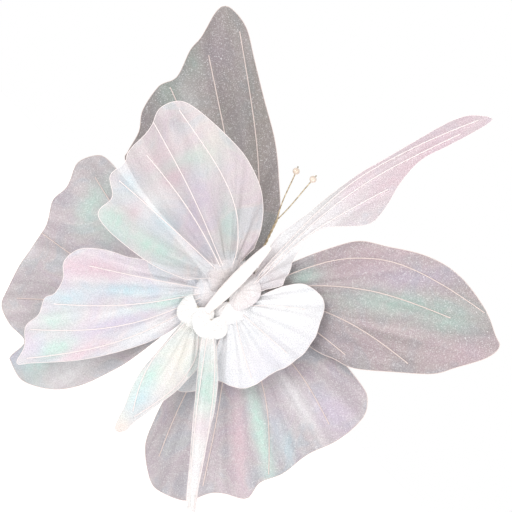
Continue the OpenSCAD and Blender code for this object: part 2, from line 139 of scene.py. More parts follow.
class Nodes:
    """A short way to write a node tree round one Principled shader."""

    def __init__(self, mat):
        self.tree = mat.node_tree
        self.shader = self.tree.nodes["Principled BSDF"]

    def new(self, kind, **settings):
        node = self.tree.nodes.new(kind)
        for key, value in settings.items():
            setattr(node, key, value)
        return node

    def feed(self, socket, value):
        if isinstance(value, bpy.types.NodeSocket):
            self.tree.links.new(value, socket)
        else:
            socket.default_value = value

    def link(self, value, name):
        self.feed(self.shader.inputs[name], value)

    def position(self):
        return self.new("ShaderNodeTexCoord").outputs["Object"]

    def uv(self, name):
        return self.new("ShaderNodeUVMap", uv_map=name).outputs["UV"]

    def scaled(self, vector, scale):
        node = self.new("ShaderNodeMapping")
        self.feed(node.inputs["Vector"], vector)
        node.inputs["Scale"].default_value = scale
        return node.outputs["Vector"]

    def noise(self, vector, scale, detail=2, distortion=0.0, colour=False):
        node = self.new("ShaderNodeTexNoise")
        self.feed(node.inputs["Vector"], vector)
        node.inputs["Scale"].default_value = scale
        node.inputs["Detail"].default_value = detail
        node.inputs["Distortion"].default_value = distortion
        return node.outputs["Color" if colour else "Fac"]

    def cells(self, vector, scale):
        node = self.new("ShaderNodeTexVoronoi")
        self.feed(node.inputs["Vector"], vector)
        node.inputs["Scale"].default_value = scale
        return node.outputs["Color"]

    def wave(self, vector, scale, direction="X", distortion=0.0):
        node = self.new("ShaderNodeTexWave", bands_direction=direction)
        self.feed(node.inputs["Vector"], vector)
        node.inputs["Scale"].default_value = scale
        node.inputs["Distortion"].default_value = distortion
        return node.outputs["Fac"]

    def ramp(self, factor, stops):
        node = self.new("ShaderNodeValToRGB")
        self.feed(node.inputs["Fac"], factor)
        band = node.color_ramp
        while len(band.elements) < len(stops):
            band.elements.new(0.5)
        for element, (at, colour) in zip(band.elements, stops):
            element.position = at
            element.color = colour if hasattr(colour, "__len__") else (colour, colour, colour, 1)
        return node.outputs["Color"]

    def mix(self, factor, a, b, blend="MIX"):
        node = self.new("ShaderNodeMix", data_type="RGBA", blend_type=blend)
        self.feed(node.inputs[0], factor)
        self.feed(node.inputs[6], a)
        self.feed(node.inputs[7], b)
        return node.outputs[2]

    def math(self, operation, a, b):
        node = self.new("ShaderNodeMath", operation=operation)
        self.feed(node.inputs[0], a)
        self.feed(node.inputs[1], b)
        return node.outputs[0]

    def attribute(self, name, output="Fac"):
        return self.new("ShaderNodeAttribute", attribute_name=name).outputs[output]

    def bump(self, height, strength, distance, under=None):
        node = self.new("ShaderNodeBump")
        node.inputs["Strength"].default_value = strength
        node.inputs["Distance"].default_value = distance
        self.feed(node.inputs["Height"], height)
        if under is not None:
            self.feed(node.inputs["Normal"], under)
        return node.outputs["Normal"]


def material(name, colour, roughness, metallic=0.0):
    mat = bpy.data.materials.new(name)
    mat.use_nodes = True
    n = Nodes(mat)
    n.shader.inputs["Base Color"].default_value = colour
    n.shader.inputs["Roughness"].default_value = roughness
    n.shader.inputs["Metallic"].default_value = metallic
    return mat, n


MINT = srgb(196, 232, 218)
AQUA = srgb(196, 226, 234)
LILAC = srgb(214, 200, 224)
ROSE = srgb(236, 206, 216)
CREAM = srgb(246, 240, 228)
GLINT_CELLS = 130
WEAVE_BANDS = 60


def organza(name, base, shade, iris, opacity):
    """Crisp organza woven with pearl film: painted shade in radial streaks along the pleats, the film's
    colour patches, and painted glints in single cells.
    """
    mat, n = material(name, base, 0.36)
    plane = n.uv("plane")
    polar = n.uv("polar")
    # Painted shade: radial streaks of the shade colour along the pleats.
    shade_streak = n.noise(n.scaled(polar, (13, 0.9, 1)), 1.0, 3, 0.6)
    colour = n.mix(n.ramp(shade_streak, [(0.30, 0.0), (0.70, 1.0)]), shade, base)
    film = n.noise(plane, 2.1, 2, 1.3)
    film = n.ramp(film, [(0.30, MINT), (0.40, AQUA), (0.50, CREAM), (0.60, ROSE), (0.70, LILAC)])
    colour = n.mix(iris, colour, film, "MULTIPLY")
    fray = n.ramp(n.noise(plane, 9, 3, 0.8), [(0.3, 0.65), (0.65, 1.0)])
    amount = n.math("MULTIPLY", n.attribute("tint", "Alpha"), fray)
    colour = n.mix(amount, colour, n.attribute("tint", "Color"))
    glint_cells = n.cells(plane, GLINT_CELLS)
    dust = n.noise(plane, 80, 3)
    colour = n.mix(1.0, colour, n.ramp(dust, [(0.36, 0.76), (0.62, 1.0)]), "MULTIPLY")
    # Painted glints: white specks in single cells, added to the base colour.
    colour = n.mix(n.ramp(glint_cells, [(0.72, 0.0), (0.95, 0.42)]), colour, (1, 1, 1, 1))
    n.link(colour, "Base Color")
    n.link(n.ramp(glint_cells, [(0.1, 0.52), (0.9, 0.26)]), "Roughness")
    n.shader.inputs["Sheen Weight"].default_value = 0.25
    n.shader.inputs["Sheen Roughness"].default_value = 0.4
    n.shader.inputs["Metallic"].default_value = 0.12
    n.shader.inputs["Alpha"].default_value = opacity
    weave = n.math("ADD", n.wave(plane, WEAVE_BANDS), n.wave(plane, WEAVE_BANDS, "Y"))
    crinkle = n.bump(n.noise(plane, 34, 4, 0.6), 0.5, 0.0011)
    fine = n.bump(weave, 0.25, 0.00012, crinkle)
    n.link(n.bump(glint_cells, 0.3, 0.00025, fine), "Normal")
    return mat


def wrapped_wire(name, colour, dark):
    mat, n = material(name, colour, 0.75)
    wrap = n.wave(n.scaled(n.uv("along"), (1, 1, 1)), 3.0, "Y", 0.6)
    fuzz = n.noise(n.position(), 1800, 3)
    n.link(n.mix(wrap, dark, colour), "Base Color")
    n.shader.inputs["Sheen Weight"].default_value = 0.3
    n.link(n.bump(fuzz, 0.4, 0.0002, n.bump(wrap, 0.6, 0.0003)), "Normal")
    return mat


def satin(name, colour, dark):
    mat, n = material(name, colour, 0.4)
    place = n.position()
    drift = n.noise(n.scaled(place, (60, 60, 18)), 1.0, 3, 0.6)
    tones = [(0.35, srgb(246, 238, 226)), (0.5, colour), (0.65, srgb(238, 240, 240))]
    film = n.ramp(n.noise(place, 38, 2, 0.5), tones)
    shaded = n.mix(n.ramp(drift, [(0.3, 0.0), (0.6, 1.0)]), dark, film)
    glint_cells = n.cells(place, 900)
    # Painted glints: white specks in single cells, added to the base colour.
    n.link(n.mix(n.ramp(glint_cells, [(0.82, 0.0), (0.95, 0.5)]), shaded, (1, 1, 1, 1)), "Base Color")
    n.shader.inputs["Sheen Weight"].default_value = 0.4
    weave = n.wave(n.scaled(place, (1, 1, 1)), 620, "Z")
    n.link(n.bump(weave, 0.2, 0.0001, n.bump(n.noise(place, 320, 3), 0.4, 0.0006)), "Normal")
    return mat


def felt(name, colour, dark):
    mat, n = material(name, colour, 0.95)
    place = n.position()
    fibre = n.noise(n.scaled(place, (1, 1, 1)), 900, 5, 1.5)
    mottle = n.noise(place, 90, 3)
    n.link(n.mix(n.ramp(mottle, [(0.35, 0.0), (0.65, 1.0)]), dark, colour), "Base Color")
    n.shader.inputs["Sheen Weight"].default_value = 0.5
    n.link(n.bump(fibre, 0.8, 0.0005), "Normal")
    return mat


def metal(name, colour, dark, roughness):
    mat, n = material(name, colour, roughness, 1.0)
    place = n.position()
    worn = n.noise(place, 240, 4, 0.3)
    n.link(n.mix(n.ramp(worn, [(0.4, 0.0), (0.62, 1.0)]), dark, colour), "Base Color")
    n.link(n.ramp(n.noise(place, 500, 3), [(0.3, roughness - 0.08), (0.7, roughness + 0.12)]), "Roughness")
    n.link(n.bump(n.noise(n.scaled(place, (300, 300, 2600)), 1.0, 2), 0.25, 0.0001), "Normal")
    return mat


def moulded(name, colour, dark):
    mat, n = material(name, colour, 0.5)
    place = n.position()
    n.link(n.mix(n.ramp(n.noise(place, 60, 3), [(0.35, 0.0), (0.65, 1.0)]), dark, colour), "Base Color")
    n.link(n.bump(n.noise(place, 1400, 3), 0.35, 0.0002), "Normal")
    return mat


def pearl(name):
    mat, n = material(name, srgb(214, 200, 184), 0.2)
    place = n.position()
    layers = n.noise(n.scaled(place, (1, 1, 1)), 260, 2, 1.2)
    tones = [(0.3, srgb(200, 180, 162)), (0.5, srgb(216, 200, 184)), (0.7, srgb(222, 208, 202))]
    n.link(n.ramp(layers, tones), "Base Color")
    n.shader.inputs["Metallic"].default_value = 0.25
    n.shader.inputs["Coat Weight"].default_value = 0.8
    n.shader.inputs["Coat Roughness"].default_value = 0.06
    n.link(n.bump(n.noise(place, 300, 2), 0.05, 0.0001), "Normal")
    return mat


# ---------------------------------------------------------------- the wings' shape

# A wing's frame and outline are the part's own: side, root, turn, lift, pitch, twist, curl, cup,
# fold, fold_at and reach, then the outline and the ribs [u, v, bow, lean], in millimetres.
# creases are [u, v, u, v, height, width]; tints are [u, v, along, across, colour, amount].
REAR_X, REAR_Y = 12, -9
FRONT_X, FRONT_Y = 9, -17
REAR_FORE_Z, FRONT_FORE_Z, HIND_Z = 12, 8, -8
TAIL_X, TAIL_Y, TAIL_Z = 10, -24, -36.5

# Painted shade: a brownish dark for the rear wings, which lie behind the front ones, in shadow.
PAINTED_SHADE_BROWN = srgb(172, 160, 152)
MAUVE = srgb(190, 172, 182)
PINK = srgb(228, 196, 206)
SEA = srgb(190, 222, 210)
SKY = srgb(200, 224, 232)
SNOW = srgb(250, 249, 250)
# Painted shade: a grey dark for patches on the rear wings, which lie in shadow.
PAINTED_SHADE_GREY = srgb(180, 170, 176)

# Each wing's level darkens its tint patches as painted shade, most on the rear wings, which lie behind the
# front ones.
WINGS = {
    "left_rear_forewing": dict(
        level=0.75,
        pose=(-1, (-REAR_X, REAR_Y, REAR_FORE_Z), 46, 5, 0, 0, -25, 12, 0, 0, 310),
        outline=[[24, -32], [63, -55], [105, -57], [151, -53], [198, -42], [247, -31], [283, -23],
                 [304, -10], [312, 2], [304, 13], [276, 28], [260, 41], [229, 56], [219, 76], [192, 94],
                 [167, 98], [144, 110], [132, 112], [89, 87], [24, 32]],
        ribs=[[280, -15, -27, 0.6], [253, 20, -13, 0.6], [217, 63, -7, 1], [152, 95, -1, 1]],
        creases=[[275, 22, 123, -9, 2.2, 5], [249, -1, 93, -26, -1.4, 5], [204, 57, 64, 10, 1.4, 6],
                 [264, -22, 63, -34, -1.2, 5]],
        tints=[[175, -42, 110, 20, PAINTED_SHADE_BROWN, 0.6], [144, -12, 90, 10, PAINTED_SHADE_GREY, 0.4], [210, 65, 26, 16, MINT, 0.35],
                 [203, 42, 24, 12, SNOW, 0.35], [249, 12, 40, 14, MAUVE, 0.5], [167, 77, 60, 22, PAINTED_SHADE_GREY, 0.4],
                 [244, 37, 20, 10, SEA, 0.3]]),
    "right_rear_forewing": dict(
        level=0.8,
        pose=(1, (REAR_X, REAR_Y, REAR_FORE_Z), 58, 12, 0, 0, -20, 12, 0, 0, 285),
        outline=[[21, -22], [47, -42], [77, -60], [113, -75], [145, -75], [192, -72], [228, -59],
                 [261, -30], [279, -3], [286, 8], [277, 22], [248, 40], [225, 52], [182, 58], [142, 62],
                 [119, 56], [90, 48], [24, 14]],
        ribs=[[262, -25, -45, 1], [229, -12, -18, 1], [198, 46, -15, 1], [129, 49, -5, 1]],
        creases=[[256, -7, 64, -19, 1.6, 6], [217, 20, 54, 3, -1.4, 6], [186, -61, 64, -43, 1.2, 6]],
        tints=[[171, -17, 70, 14, SEA, 0.65], [229, -6, 34, 16, SEA, 0.6], [66, -28, 20, 9, MINT, 0.6],
                 [146, -63, 60, 14, PINK, 0.5], [188, -49, 50, 12, LILAC, 0.5],
                 [247, 23, 40, 20, PINK, 0.4], [119, 36, 40, 16, MAUVE, 0.5]]),
    "left_rear_hindwing": dict(
        level=0.87,
        pose=(-1, (-REAR_X, REAR_Y, HIND_Z), 132, 3, 0, 0, -10, 0, 0, 0, 245),
        outline=[[23, -26], [78, -87], [110, -121], [133, -145], [147, -150], [168, -140], [178, -113],
                 [194, -97], [200, -69], [215, -47], [230, -22], [243, 8], [245, 24], [234, 44], [216, 62],
                 [231, 78], [232, 84], [218, 105], [183, 114], [150, 109], [120, 95], [95, 80], [60, 52],
                 [28, 25]],
        ribs=[[146, -124, 14, 1], [204, -60, 20, 1], [228, 14, 6, 1], [200, 82, -4, 1]],
        creases=[[204, -59, 158, -28, 1.6, 5], [148, -136, 63, -46, -1.4, 7], [230, 44, 93, 24, 1.5, 6],
                 [226, 80, 113, 49, -1.4, 6]],
        tints=[[129, -119, 34, 22, PAINTED_SHADE_GREY, 0.5], [148, -94, 14, 36, MINT, 0.55],
                 [127, -63, 22, 20, SEA, 0.45], [189, -105, 20, 20, MAUVE, 0.7],
                 [186, -65, 22, 18, MAUVE, 0.6], [218, -16, 22, 24, PAINTED_SHADE_GREY, 0.6],
                 [220, -40, 10, 14, SNOW, 0.4], [206, 81, 26, 22, MINT, 0.8], [229, 75, 14, 20, LILAC, 0.7],
                 [161, 89, 44, 20, SNOW, 0.7], [172, 64, 60, 14, AQUA, 0.6], [192, 34, 40, 14, PAINTED_SHADE_GREY, 0.4]]),
    "right_rear_hindwing": dict(
        level=0.9,
        pose=(1, (REAR_X, REAR_Y, HIND_Z), 136, 2, 0, 0, -10, 0, 0, 0, 215),
        outline=[[14, -24], [32, -67], [45, -96], [59, -118], [89, -143], [104, -149], [124, -143],
                 [148, -116], [162, -86], [182, -58], [192, -32], [209, -18], [204, 6], [204, 22],
                 [212, 47], [204, 74], [190, 90], [154, 96], [125, 86], [100, 73], [74, 55], [28, 22]],
        ribs=[[130, -108, -12, 1], [183, -42, -15, 1], [196, 29, -3, 1], [164, 80, 4, 1]],
        creases=[[200, -21, 90, 0, 2.0, 4], [135, -94, 64, -57, 1.6, 8], [190, 33, 74, 15, -1.4, 6],
                 [155, 85, 74, 33, 1.4, 6], [154, -78, 64, -37, -1.4, 6]],
        tints=[[139, -33, 60, 9, MINT, 0.85], [154, -9, 50, 9, PINK, 0.8], [179, 68, 24, 26, PAINTED_SHADE_GREY, 0.6],
                 [116, -110, 30, 16, LILAC, 0.6], [104, -71, 40, 9, SNOW, 0.6],
                 [158, 29, 40, 16, MAUVE, 0.5], [148, -59, 30, 12, AQUA, 0.4],
                 [86, -124, 20, 14, PAINTED_SHADE_GREY, 0.5]]),
    "left_front_forewing": dict(
        level=0.95,
        pose=(-1, (-FRONT_X, FRONT_Y, FRONT_FORE_Z), 72, 42, 0, 0, 8, 12, 0, 0, 215),
        outline=[[19, -41], [48, -64], [81, -75], [119, -75], [154, -66], [195, -50], [213, -36],
                 [214, -15], [202, 3], [192, 34], [184, 43], [179, 63], [156, 71], [152, 89], [142, 94],
                 [113, 87], [66, 67], [27, 41]],
        ribs=[[203, -33, -28, 0.7], [205, -3, -4, 1], [178, 19, -6, 1], [169, 57, -1, 1]],
        creases=[[130, 39, 21, 17, 2.4, 4], [151, 71, 61, 31, -1.4, 5], [191, -48, 71, -47, 1.4, 6],
                 [201, -17, 61, -21, -1.5, 6]],
        tints=[[147, -13, 14, 40, MINT, 0.9], [129, -25, 12, 20, SKY, 0.5], [165, 7, 12, 34, ROSE, 0.55],
                 [139, 5, 14, 26, PINK, 0.8], [101, -13, 26, 20, LILAC, 0.5], [161, 49, 16, 14, SKY, 0.7],
                 [127, 37, 18, 22, SNOW, 0.9], [127, 59, 10, 12, PINK, 0.6], [133, 81, 22, 12, MINT, 0.85],
                 [85, 59, 44, 12, MINT, 0.9], [101, 37, 20, 14, AQUA, 0.5], [67, 11, 34, 12, LILAC, 0.4],
                 [196, -19, 12, 20, MAUVE, 0.4], [61, -27, 34, 10, SEA, 0.5],
                 [151, -48, 40, 14, CREAM, 0.4]]),
    "right_front_forewing": dict(
        level=0.92, pucker=0.03,
        pose=(1, (FRONT_X, FRONT_Y, FRONT_FORE_Z), 50, 20, 0, 0, -36, 0, 20, 100, 330),
        outline=[[20, -33], [33, -61], [48, -76], [66, -92], [88, -114], [115, -136], [130, -147],
                 [142, -155], [160, -168], [182, -183], [200, -195], [217, -205], [236, -210], [259, -205],
                 [240, -188], [215, -172], [187, -155], [168, -128], [156, -100], [142, -80], [120, -76],
                 [91, -75], [69, -61], [60, -42], [56, -26], [50, -8]],
        ribs=[[244, -203, -28, 1], [227, -186, -20, 1], [155, -119, -12, 1]],
        creases=[[222, -202, 62, -84, 1.6, 6], [158, -116, 83, -76, -1.4, 6]],
        tints=[[93, -123, 60, 12, MINT, 0.35], [165, -136, 40, 14, PINK, 0.55],
                 [212, -181, 60, 22, PINK, 0.6], [131, -143, 60, 10, ROSE, 0.5],
                 [60, -60, 60, 40, SNOW, 0.8]]),
    "left_front_hindwing": dict(
        level=0.95,
        pose=(-1, (-FRONT_X, FRONT_Y, HIND_Z), 142, 20, 0, 0, -12, 12, 0, 0, 235),
        outline=[[22, -17], [69, -43], [92, -51], [115, -62], [142, -67], [161, -56], [165, -37],
                 [177, -22], [188, -19], [197, -2], [213, 9], [217, 30], [228, 47], [211, 49], [160, 53],
                 [109, 49], [63, 38], [28, 18]],
        ribs=[[134, -47, 1, 1], [179, -11, 7, 1], [208, 13, 15, 1], [216, 43, 15, 1]],
        creases=[[217, 9, 57, 21, 1.6, 4], [229, 45, 124, 41, 1.4, 4], [144, -21, 32, 3, -1.6, 4],
                 [125, -35, 21, 5, 1.8, 4]],
        tints=[[95, -15, 44, 8, AQUA, 0.7], [154, -49, 24, 12, ROSE, 0.6], [123, -43, 24, 10, PINK, 0.7],
                 [161, -15, 22, 10, SKY, 0.7], [64, 5, 40, 6, MINT, 0.6], [181, 7, 20, 12, MINT, 0.5],
                 [123, 21, 50, 8, LILAC, 0.6], [184, 37, 24, 10, MINT, 0.8], [154, 45, 34, 8, ROSE, 0.6],
                 [80, 33, 40, 8, SNOW, 0.7], [208, 33, 12, 12, LILAC, 0.5]]),
    "right_front_hindwing": dict(
        level=0.97,
        pose=(1, (FRONT_X, FRONT_Y, HIND_Z), 95, 10, 0, 0, 12, 0, 0, 0, 125),
        outline=[[28, -55], [42, -74], [64, -80], [78, -76], [88, -66], [102, -43], [104, -10], [100, 9],
                 [93, 40], [78, 55], [61, 64], [57, 82], [48, 95], [36, 104], [24, 88], [12, 34]],
        ribs=[[67, -58, -3, 1], [92, -13, 0, 1], [86, 33, 2, 1], [53, 73, 2, 1]],
        creases=[[87, -30, 24, -8, 1.0, 8], [72, 31, 25, 13, -1.0, 8]],
        # The grey-lilac patch at 78, 30 is painted shade in the wing's bowl.
        tints=[[46, -43, 60, 40, SNOW, 0.7], [78, 30, 30, 30, srgb(236, 232, 242), 0.6],
                 [55, 29, 50, 20, SNOW, 0.5]]),
    "left_tail": dict(
        level=0.97,
        pose=(1, (-TAIL_X, TAIL_Y, TAIL_Z), 167, 0, 14, 0, 10, 0, 0, 0, 160),
        outline=[[15, -17], [31, -28], [53, -37], [89, -33], [117, -24], [144, -15], [157, -13], [163, -7],
                 [161, -2], [151, 1], [137, 3], [122, 7], [106, 10], [88, 11], [65, 9], [36, 7], [15, 6]],
        ribs=[[139, -12, -26, 0.8], [135, -7, 11, 1.2]],
        creases=[[111, -9, 21, -11, 1.2, 4]],
        tints=[[98, -1, 30, 8, MINT, 0.7], [118, -5, 20, 10, SKY, 0.7],
                 [158, -7, 9, 9, srgb(244, 226, 218), 0.9], [61, -15, 30, 14, CREAM, 0.5]]),
    "right_tail": dict(
        level=0.97,
        pose=(1, (TAIL_X, TAIL_Y, TAIL_Z), 141, 0, 32, 0, 10, 0, 0, 0, 250),
        outline=[[20, -8], [47, -12], [74, -16], [110, -16], [128, -14], [156, -12], [181, -9], [204, -9],
                 [236, -9], [252, -8], [258, -5], [253, -2], [237, 0], [213, 2], [172, 3], [129, 5],
                 [88, 6], [46, 7], [15, 7]],
        ribs=[[240, -6, -10, 0.7], [230, -2, 3, 1]],
        creases=[[207, -4, 46, -4, 1.2, 5]],
        tints=[[85, -5, 34, 12, MINT, 0.7], [132, -5, 18, 12, ROSE, 0.4], [188, -5, 40, 12, SNOW, 0.5]]),
}

GATHER_AT = 8
RIB_FROM = 10
GATHER_W = 10
RIB_PITCH = 2.3
FOLD_LEN = 130
RUFFLE = 4
RUFFLE_WAVES = 9
PUCKER = 0.22
FERRULE_END = 14
ACROSS = 150
ALONG = 84


def smoothstep(x, low, high):
    t = np.clip((x - low) / (high - low), 0, 1)
    return t * t * (3 - 2 * t)


def placed(w, u, v, h):
    """Points given along, across and above a wing, in the part's frame, in metres."""
    side, root, turn, lift, pitch, twist = w["pose"][:6]
    t, l, p, k = np.radians((turn, lift, pitch, twist))
    v, h = v * np.cos(k) - h * np.sin(k), v * np.sin(k) + h * np.cos(k)
    x, y, z = side * (u * np.sin(t) + v * np.cos(t)), -h, u * np.cos(t) - v * np.sin(t)
    x, y = x * np.cos(l) + side * y * np.sin(l), y * np.cos(l) - side * x * np.sin(l)
    y, z = y * np.cos(p) + z * np.sin(p), z * np.cos(p) - y * np.sin(p)
    return MM * (np.stack([x, y, z], -1) + np.array(root))


def smooth(points, steps):
    """A curve through the points, with that many steps between two of them."""
    p = np.array(points, float)
    q = np.vstack([p[:1], p, p[-1:]])
    t = np.arange(steps)[:, None] / steps
    runs = [0.5 * (2 * b + (c - a) * t + (2 * a - 5 * b + 4 * c - d) * t ** 2
                   + (3 * b - a - 3 * c + d) * t ** 3)
            for a, b, c, d in zip(q, q[1:], q[2:], q[3:])]
    return np.vstack(runs + [p[-1:]])


def evenly(curve, count):
    length = np.concatenate([[0], np.cumsum(np.linalg.norm(np.diff(curve, axis=0), axis=1))])
    at = np.linspace(0, length[-1], count)
    return np.stack([np.interp(at, length, curve[:, i]) for i in range(curve.shape[1])], -1)


def rib_lines(w, count):
    """Each rib's course over the wing's plane."""
    lines = []
    total = len(w["ribs"])
    for i, (u, v, bow, lean) in enumerate(w["ribs"]):
        start = np.array([RIB_FROM, (i - (total - 1) / 2) * RIB_PITCH])
        run = np.array([u, v]) - start
        across = np.array([-run[1], run[0]]) / np.linalg.norm(run)
        t = np.linspace(0, 1, count)[:, None]
        lines.append(start + run * t + across * bow * np.sin(math.pi * t ** lean))
    return lines


def near_segment(u, v, ends):
    """Distance from a segment and the share of the way along it."""
    a, b = np.array(ends[:2], float), np.array(ends[2:4], float)
    run = b - a
    t = np.clip(((u - a[0]) * run[0] + (v - a[1]) * run[1]) / (run @ run), 0, 1)
    off_u, off_v = u - a[0] - t * run[0], v - a[1] - t * run[1]
    return (off_v * run[0] - off_u * run[1]) / np.linalg.norm(run), t


def height(w, u, v, seed):
    """The sheet's height above its plane: the bend of the whole wing, then pleats, puckers and creases."""
    curl, cup, fold, fold_at, reach = w["pose"][6:]
    r, a = np.hypot(u, v), np.arctan2(v, u)
    z = curl * (u / reach) ** 2 + cup * (v / 100) ** 2
    z = z + fold * np.maximum(v, 0) / 100 * np.cos(2 * math.pi * (u - fold_at) / FOLD_LEN)
    z = z + RUFFLE * (r / reach) ** 3 * np.sin(RUFFLE_WAVES * a)

    free = smoothstep(r, FERRULE_END, 45)
    fade = np.exp(-np.maximum(r - 45, 0) / 90)
    z = z + 1.3 * free * fade * np.sin(24 * a + seed + 0.7 * np.sin(r / 41 + seed))
    z = z + 0.4 * free * (0.15 + 0.85 * fade) * np.sin(57 * a + 2.3 * seed + 1.1 * np.sin(r / 26))
    z = z + 0.35 * smoothstep(r, 60, 150) * np.sin(29 * a + 5 * seed + 1.6 * np.sin(r / 33 + seed))
    z = z + 0.9 * smoothstep(r, 50, 140) * np.sin(u / 24 + seed) * np.sin(v / 21 + 1.7 * seed)
    z = z + 1.2 * (r / reach) ** 5 * np.sin(31 * a + 3 * seed)
    z = z + 0.8 * (1 - free) * np.sin(2.4 * v + seed)

    for line in rib_lines(w, 60):
        gap = np.full(u.shape, 1e9)
        along = np.zeros(u.shape)
        for k, (pu, pv) in enumerate(line):
            d = np.hypot(u - pu, v - pv)
            along = np.where(d < gap, k * np.linalg.norm(line[-1] - line[0]) / 59, along)
            gap = np.minimum(gap, d)
        z = z + 0.55 * np.exp(-(gap / 2.6) ** 2)
        pucker = w.get("pucker", PUCKER)
        z = z + pucker * free * np.exp(-(gap / 7) ** 2) * np.sin(0.95 * along + 2 * gap + seed)
    for crease in w["creases"]:
        gap, t = near_segment(u, v, crease)
        ends = np.sin(math.pi * np.clip(t, 0.03, 0.97)) ** 0.5
        z = z + crease[4] * np.exp(-np.abs(gap) / crease[5]) * ends
    return z


def tint_of(w, u, v):
    """The pearl film's colour patches and the painted shade patches, all darkened by the wing's level as
    painted shade: how strongly each one shows at a point, and its colour.
    """
    rgb = np.ones(u.shape + (3,))
    strength = np.zeros(u.shape)
    for cu, cv, along, across, colour, amount in w["tints"]:
        ray = math.atan2(cv, cu)
        du, dv = u - cu, v - cv
        s = (du * math.cos(ray) + dv * math.sin(ray)) / along
        t = (dv * math.cos(ray) - du * math.sin(ray)) / across
        weight = min(0.95, 1.25 * amount) * np.exp(-(s * s + t * t))
        blend = weight / np.maximum(weight + strength * (1 - weight), 1e-6)
        rgb = rgb * (1 - blend[..., None]) + w["level"] ** 2.2 * np.array(colour[:3]) * blend[..., None]
        strength = strength + weight * (1 - strength)
    return rgb, strength


# ---------------------------------------------------------------- mesh helpers

def add_mesh(name, points, faces, mat, body, uvs=None):
    mesh = bpy.data.meshes.new(name)
    mesh.from_pydata([tuple(p) for p in points], [], faces)
    mesh.update()
    mesh.polygons.foreach_set("use_smooth", [True] * len(mesh.polygons))
    corners = np.zeros(len(mesh.loops), int)
    mesh.loops.foreach_get("vertex_index", corners)
    for layer, values in (uvs or {}).items():
        uv = mesh.uv_layers.new(name=layer)
        uv.data.foreach_set("uv", np.asarray(values, np.float32)[corners].ravel())
    mesh.materials.append(mat)
    obj = bpy.data.objects.new(name, mesh)
    bpy.context.scene.collection.objects.link(obj)
    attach(obj, body)
    return obj


def grid_faces(rows, columns, wrap=False, start=0):
    last = columns if wrap else columns - 1
    return [(start + i * columns + j, start + i * columns + (j + 1) % columns,
             start + (i + 1) * columns + (j + 1) % columns, start + (i + 1) * columns + j)
            for i in range(rows - 1) for j in range(last)]


TUBE_SIDES = 10
WRAP_PITCH = 0.0011


def tube(path, radius):
    """Points, faces and the uv along and round it of a tube with rounded ends."""
    path = np.asarray(path, float)
    step = np.gradient(path, axis=0)
    step /= np.linalg.norm(step, axis=1)[:, None]
    side = np.cross(step[0], [0.31, 0.9, 0.3])
    points, uv, sides = [], [], []
    for d in step:
        side = side - (side @ d) * d
        side /= np.linalg.norm(side)
        sides.append((side, np.cross(d, side)))
    run = np.concatenate([[0], np.cumsum(np.linalg.norm(np.diff(path, axis=0), axis=1))])
    caps = [(0, -0.8, 0.02), (0, -0.55, 0.7)] + [(i, 0, 1.0) for i in range(len(path))]
    caps += [(len(path) - 1, 0.55, 0.7), (len(path) - 1, 0.8, 0.02)]
    radii = np.broadcast_to(radius, len(path))
    for i, shift, share in caps:
        a, b = sides[i]
        for k in range(TUBE_SIDES):
            q = 2 * math.pi * k / TUBE_SIDES
            out = math.cos(q) * a + math.sin(q) * b
            points.append(path[i] + radii[i] * (shift * step[i] + share * out))
            uv.append((k / TUBE_SIDES, run[i] / WRAP_PITCH / 10))
    rows = len(caps)
    faces = grid_faces(rows, TUBE_SIDES, True)
    faces.append(tuple(range(TUBE_SIDES - 1, -1, -1)))
    faces.append(tuple((rows - 1) * TUBE_SIDES + k for k in range(TUBE_SIDES)))
    return points, faces, uv


def add_tubes(name, paths, radius, mat, body):
    points, faces, uv = [], [], []
    for path in paths:
        p, f, t = tube(path, radius)
        faces += [tuple(i + len(points) for i in face) for face in f]
        points += p
        uv += t
    return add_mesh(name, points, faces, mat, body, {"along": uv})


# ---------------------------------------------------------------- the wings

HEM_R = 0.32 * MM
RIB_R = 0.55 * MM
PLANE_UV = 100
ROOT_ROWS = 10
BLADES = ("right_front_forewing",)


def fan(edge):
    """Rows of points from the gathered root, one row to each point of the free edge."""
    share = np.linspace(0, 1, len(edge))
    start = np.stack([np.full(len(edge), GATHER_AT), (share - 0.5) * GATHER_W], -1)
    return start[:, None] + (edge - start)[:, None] * np.linspace(0, 1, ALONG)[None, :, None]


def blade(curve):
    """Rows of points across a long wing, from its leading to its trailing side, the root first."""
    half = len(curve) // 2
    s = np.linspace(0, 1, ROOT_ROWS, endpoint=False)[:, None]
    sides = []
    for corner, side in ((-GATHER_W / 2, curve[:half]), (GATHER_W / 2, curve[:half:-1])):
        start = np.array([GATHER_AT, corner])
        sides.append(np.vstack([start + (side[0] - start) * s, side]))
    lead, trail = sides
    return lead[:, None] + (trail - lead)[:, None] * np.linspace(0, 1, ALONG)[None, :, None]


